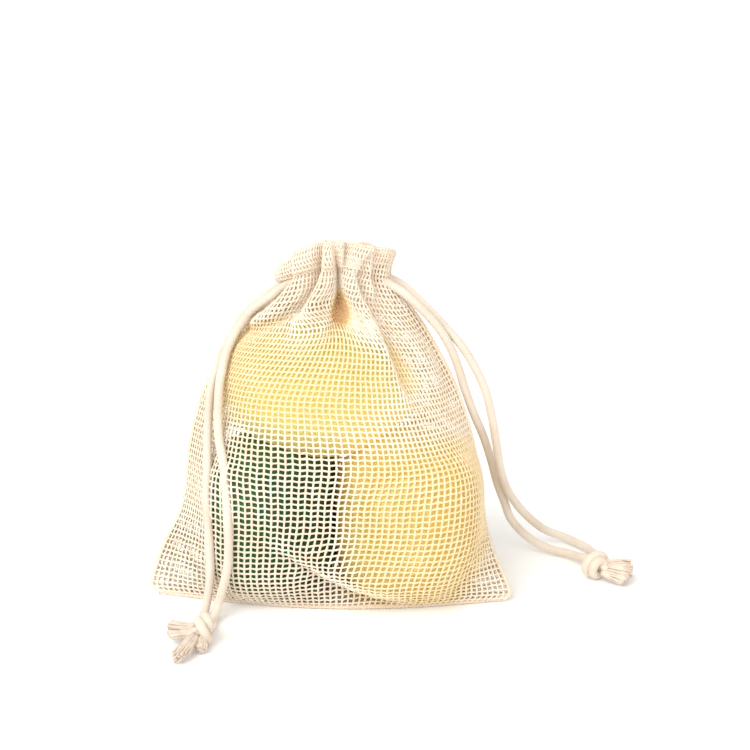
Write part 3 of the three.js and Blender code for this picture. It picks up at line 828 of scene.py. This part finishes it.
# Rows: height share, inset, and a further inset at the ends, over the cords
LIP = [(0.2, 0, 0), (0.4, 0, 0), (0.6, 0, 0), (0.8, 0, 0), (0.98, 0.1, 0), (1.06, 0.9, 0), (0.96, 1.7, 0)]
LINING = [
    (0.86, 1.7, 0.6), (0.66, 1.6, 2.6), (0.46, 1.6, 5), (0.26, 1.6, 7), (0.06, 1.5, 8), (-0.14, 1.5, 8),
    (-0.34, 1.5, 7), (-0.54, 1.6, 4.6), (-0.74, 1.6, 1.6), (-0.94, 1.6, 0.6), (-1.14, 1.8, 0),
]


def frill(sign, rows):
    """Rows round the mouth, where the net stands up as a puffed frill and turns over inwards."""
    left0, right0, _, front0, back0, _ = station(NECK_HEIGHT)
    made = []
    for t, inset, end_inset in rows:
        puff = PUFF * math.sin(math.pi * min(1, max(0, t)) ** PUFF_POWER) - inset
        left = left0 + (RIM[0] - left0) * t + PUFF_ENDS[0] * puff - end_inset
        right = right0 + (RIM[1] - right0) * max(0, t) ** 2 + PUFF_ENDS[1] * puff - end_inset
        front = front0 + (RIM[2] - front0) * t - puff
        back = back0 + (RIM[3] - back0) * t + puff
        across = -np.cos(np.linspace(0, math.pi, ROW_POINTS))
        x = np.where(across < 0, left, right) * across
        y = np.sqrt(1 - across ** 2) * (back if sign > 0 else front)
        low = NECK_HEIGHT - droop(x, left, right, NECK_DROOP)
        high = RIM_HEIGHT - droop(x, left, right, RIM_DROOP) - MOUTH_TILT * (y - front)
        row = np.stack([x, y, low + (high - low) * t], 1)
        z = NECK_HEIGHT + max(0, t) * (RIM_HEIGHT - NECK_HEIGHT)
        pressed, gather = fold_in(row, z, sign, np.array([(right - left) / 2, 0]))
        pressed[:, 2] -= FOLD_SINK * np.linalg.norm(pressed - row, axis=1) * max(0, t)
        made.append(evenly(pressed, gather))
    return np.array(made)


def halves(grid):
    """Adds a smooth point in the middle of each step along the second axis."""
    before = np.concatenate([2 * grid[:, :1] - grid[:, 1:2], grid[:, :-2]], 1)
    after = np.concatenate([grid[:, 2:], 2 * grid[:, -1:] - grid[:, -2:-1]], 1)
    middle = (9 * (grid[:, :-1] + grid[:, 1:]) - before - after) / 16
    out = np.empty((grid.shape[0], 2 * grid.shape[1] - 1, 3))
    out[:, ::2] = grid
    out[:, 1::2] = middle
    return out


def between(grid):
    """The points halfway between the columns of a grid."""
    return (grid[:, 1:] + grid[:, :-1]) / 2


# Threads
WARP_RADIUS = (0.55, 0.48)  # at a crossing, between crossings
WEFT_RADIUS = (0.515, 0.445)
ZIGZAG = 0.22  # how far a weft goes up and down from warp to warp
WEAVE = 0.16  # how far threads go over and under each other
THREAD_UNEVEN = 0.12
THREAD_LIMITS = (0.75, 1.3)
THREAD_SIDES = 5
BACK_THREAD_SIDES = 4


def threads(grid, sides):
    """The threads of a panel as tubes: warps up its columns and wefts along its rows."""
    normal = unit(np.cross(np.gradient(grid, axis=1), np.gradient(grid, axis=0)))
    rows, columns = grid.shape[:2]
    upward = unit(np.gradient(grid, axis=0))
    column = np.arange(columns)[None, :, None]
    row = np.arange(rows)[:, None, None]
    parity = (-1.0) ** (column + row)
    warp = grid + WEAVE * parity * normal
    weft = grid - WEAVE * parity * normal + ZIGZAG * (-1.0) ** column * upward
    parts = []
    for lines, normals, radius in (
        (warp.swapaxes(0, 1), normal.swapaxes(0, 1), WARP_RADIUS),
        (weft, normal, WEFT_RADIUS),
    ):
        paths = halves(lines)
        radii = np.tile(radius, paths.shape[1])[: paths.shape[1]]
        thick = 1 + THREAD_UNEVEN * random.standard_normal((paths.shape[0], paths.shape[1]))
        radii = radii[None] * np.clip(thick, *THREAD_LIMITS)
        parts.append(tubes(paths, unit(halves(normals)), radii, sides))
    return join(parts)


# Painted light and shade on the net's threads: painted yellow light near a yellow fruit, painted shade in
# the hollow over the lemon
PAINTED_LIGHT_LEVEL = 0.5
PAINTED_LIGHT_REACH = 9  # distance from a yellow fruit at which its painted light on the threads ends
HOLLOW_MIDDLE = (3.4, -9, 132)  # of the hollow over the lemon, between the folds, whose threads get painted shade
HOLLOW_HALF = (14, 12, 13)
PAINTED_SHADE_LEVEL = 0.85


def net_piece(name, grids, sides, material=NET_COTTON):
    """A net of one or more panels. Its threads get painted light from the yellow fruit under them, and
    painted shade in the hollow between the folds.
    """
    piece = make_piece(name, *join([threads(grid, sides) for grid in grids]), material, "net")
    points = np.empty(3 * len(piece.data.vertices))
    piece.data.vertices.foreach_get("co", points)
    points = points.reshape(-1, 3) / MM + (0, BAG_MIDDLE, 0)
    near = np.zeros(len(points))
    for middle, half, tilt, full in (LEMON, GOLDEN):
        local = (points - np.array(middle)) @ tilted(tilt) / np.array(half)
        away = ((np.abs(local) ** full).sum(axis=1) ** (1 / full) - 1) * min(half)
        near = np.maximum(near, smooth(1 - away / PAINTED_LIGHT_REACH))
    from_hollow = (points - np.array(HOLLOW_MIDDLE)) / np.array(HOLLOW_HALF)
    hollow = smooth(2 - 2 * np.linalg.norm(from_hollow, axis=1))
    tint = np.maximum(PAINTED_LIGHT_LEVEL * near, PAINTED_SHADE_LEVEL * hollow)
    piece.data.attributes.new("painted_light_and_shade", "FLOAT", "POINT").data.foreach_set("value", tint)
    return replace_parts(piece, "net_bag")


steps = STEPS
front = np.concatenate([folded(settle(panel_rows(-1, FRONT_ROWS), steps), -1), frill(-1, LIP)])
back = np.concatenate([folded(settle(panel_rows(1, BACK_ROWS), steps), 1), frill(1, LIP)])
lining = [between(frill(sign, LINING)) for sign in (-1, 1)]
net_front = net_piece("net_front", [front], THREAD_SIDES)
net_back = net_piece("net_back", [back], BACK_THREAD_SIDES)
casing = net_piece("net_casing", lining, THREAD_SIDES, CASING_COTTON)


# The seam round the sides and the bottom
SEAM_WIDTH = 1.15
SEAM_THICK = 0.75
SEAM_STITCH = 1.7  # from stitch to stitch
SEAM_SWELL = 0.13
SEAM_SIDES = 12
SEAM_STEP = 0.35
SEAM_FLOOR = 1.2 * SEAM_WIDTH  # lowest height of its middle
EDGE_START = 2.5  # height above which a panel's edge is followed
EDGE_POINTS = 40
CORNER_COLUMNS = 2  # left out at each end of the bottom, where the seam rounds the corner
BOTTOM_EVERY = 4  # columns from point to point along the bottom


def panel_edge(grid, column):
    """A panel's edge from the bottom corner up to the rim, at equal steps."""
    edge = grid[:-2, column]
    return evenly(edge[edge[:, 2] > EDGE_START], count=EDGE_POINTS)


def seam(path, first):
    """A rolled seam with stitches round it."""
    normals = carried_frame(path, first)
    along = unit(np.gradient(path, axis=0))
    aside = np.cross(along, normals)
    angle = np.arange(SEAM_SIDES) * 2 * math.pi / SEAM_SIDES
    gone = np.arange(len(path))[:, None] * SEAM_STEP / SEAM_STITCH
    swell = 1 + SEAM_SWELL * np.cos(2 * math.pi * gone + angle)
    ring = (
        SEAM_THICK * np.cos(angle)[None, :, None] * normals[:, None]
        + SEAM_WIDTH * np.sin(angle)[None, :, None] * aside[:, None]
    )
    points = path[:, None] + swell[..., None] * ring
    return points.reshape(-1, 3), tube_faces(1, len(path), SEAM_SIDES)


left_edge = (panel_edge(front, 0) + panel_edge(back, 0)) / 2
right_edge = (panel_edge(front, -1) + panel_edge(back, -1)) / 2
bottom_edge = front[0, CORNER_COLUMNS:-CORNER_COLUMNS:BOTTOM_EVERY]
round_bag = np.concatenate([left_edge[::-1], bottom_edge, right_edge])
round_bag[:, 2] = np.maximum(round_bag[:, 2], SEAM_FLOOR)
seam_path = centripetal(round_bag, SEAM_STEP)
seams = make_piece("net_seams", *seam(seam_path, (0, -1, 0.2)), SEAM_COTTON, "net")
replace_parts(seams, "net_bag")


# Fruit
FRUIT_STEPS = 90  # from end to end
FRUIT_AROUND = 120
LUMPS = 0.8  # height of the soft lumps of a body
LUMP_SCALE = 2.2
PIT_DEPTH = 0.16
PIT_SCALE = 26
TIP_WIDTH = 0.045
STEM_END_WIDTH = 0.03
STEM_END_HEIGHT = 0.4  # as a share of the tip's
FRUIT_GAP = 0.15  # from a fruit to the plane in which it meets another


def kept_apart(points, own):
    """Flattens a fruit where it meets the others."""
    middle, half = np.array(own[0]), own[1]
    for other in FRUITS:
        if other is own:
            continue
        apart = np.array(other[0]) - middle
        far = np.linalg.norm(apart)
        apart /= far
        mine, theirs = (1 / np.linalg.norm(apart / np.array(h)) for h in (half, other[1]))
        over = (points - middle) @ apart - far * mine / (mine + theirs) + FRUIT_GAP
        points -= np.maximum(over, 0)[:, None] * apart
    return points


def ball_faces(rings, around):
    """Faces of a closed body: its right end, rings of points round X, and its left end."""
    faces = []
    last = 1 + (rings - 1) * around
    for i in range(around):
        j = (i + 1) % around
        faces.append([0, 1 + i, 1 + j])
        faces.append([last + j, last + i, last + around])
        for k in range(rings - 1):
            a = 1 + k * around
            faces.append([a + i, a + around + i, a + around + j, a + j])
    return faces


def fruit(name, own, tip_height, material):
    """A fruit as a round body along X, with a raised tip at its right end and a lower one at its left."""
    middle, half, tilt, full = own
    angle = np.linspace(0, math.pi, FRUIT_STEPS + 1)[1:-1]
    turn = np.arange(FRUIT_AROUND) * 2 * math.pi / FRUIT_AROUND
    body = np.stack(np.broadcast_arrays(
        np.cos(angle)[:, None],
        np.sin(angle)[:, None] * np.cos(turn),
        np.sin(angle)[:, None] * np.sin(turn),
    ), -1).reshape(-1, 3)
    body = np.concatenate([[[1, 0, 0]], body, [[-1, 0, 0]]])
    swell = np.array([
        LUMPS * noise.noise(Vector(p) * LUMP_SCALE + Vector(middle))
        + PIT_DEPTH * noise.noise(Vector(p) * PIT_SCALE)
        for p in body.tolist()
    ])
    body_size = (np.abs(body) ** full).sum(axis=1, keepdims=True) ** (-1 / full)
    points = body * body_size * (np.array(half) + swell[:, None] - LUMPS * 0.5)
    tip = np.exp(-((1 - body[:, 0]) / TIP_WIDTH))
    stem_end = STEM_END_HEIGHT * np.exp(-((1 + body[:, 0]) / STEM_END_WIDTH))
    points[:, 0] += tip_height * (tip - stem_end)
    points = points @ tilted(tilt).T + np.array(middle)
    return make_piece(name, kept_apart(points, own), ball_faces(len(angle), FRUIT_AROUND), material)


lemon = fruit("lemon", LEMON, tip_height=4.0, material=LEMON_PEEL)
green_fruit = fruit("green_fruit", GREEN, tip_height=0.5, material=GREEN_PEEL)
golden_fruit = fruit("golden_fruit", GOLDEN, tip_height=1.5, material=GOLDEN_PEEL)
for piece in (lemon, green_fruit, golden_fruit):
    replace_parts(piece, "net_bag")


# Floor, light and view
FLOOR = 4.0  # m, half its width
FLOOR_WHITE = (0.95, 0.965, 0.98, 1)
FLOOR_GLOW = (0.95, 0.97, 1, 1)
FILL_PLACE = Vector((0.9, -0.8, 0.6))
FILL_TARGET = Vector((0, 0, 0.06))
WARM_WHITE = (1, 0.97, 0.93)

corners = [(-FLOOR, -FLOOR, 0), (FLOOR, -FLOOR, 0), (FLOOR, FLOOR, 0), (-FLOOR, FLOOR, 0)]
floor_mesh = bpy.data.meshes.new("floor")
floor_mesh.from_pydata(corners, [], [(0, 1, 2, 3)])
floor_material, _, _ = shader(
    "floor_white", roughness=0.9,
    Base_Color=FLOOR_WHITE, Emission_Color=FLOOR_GLOW, Emission_Strength=0.06,
)
floor_mesh.materials.append(floor_material)
floor = bpy.data.objects.new("floor", floor_mesh)
bpy.context.scene.collection.objects.link(floor)


def lamp(name, kind, towards, energy, colour, location=(0, 0, 0), **settings):
    """A light that shines in one direction."""
    light = bpy.data.lights.new(name, kind)
    light.energy = energy
    light.color = colour
    for key, value in settings.items():
        setattr(light, key, value)
    made = bpy.data.objects.new(name, light)
    made.location = location
    made.rotation_euler = Vector(towards).to_track_quat("-Z", "Y").to_euler()
    bpy.context.scene.collection.objects.link(made)


lamp(
    "fill", "AREA", towards=FILL_TARGET - FILL_PLACE, energy=2, colour=(1, 0.95, 0.88),
    location=FILL_PLACE, size=0.8,
)
lamp(
    "sun", "SUN", towards=(0.55, 0.75, -0.95), energy=2.0, colour=WARM_WHITE,
    angle=math.radians(45),
)
world = bpy.data.worlds.new("studio")
world.use_nodes = True
background = world.node_tree.nodes["Background"]
background.inputs["Color"].default_value = (*WARM_WHITE, 1)
background.inputs["Strength"].default_value = 0.82
bpy.context.scene.world = world
bpy.context.scene.view_settings.view_transform = "Standard"
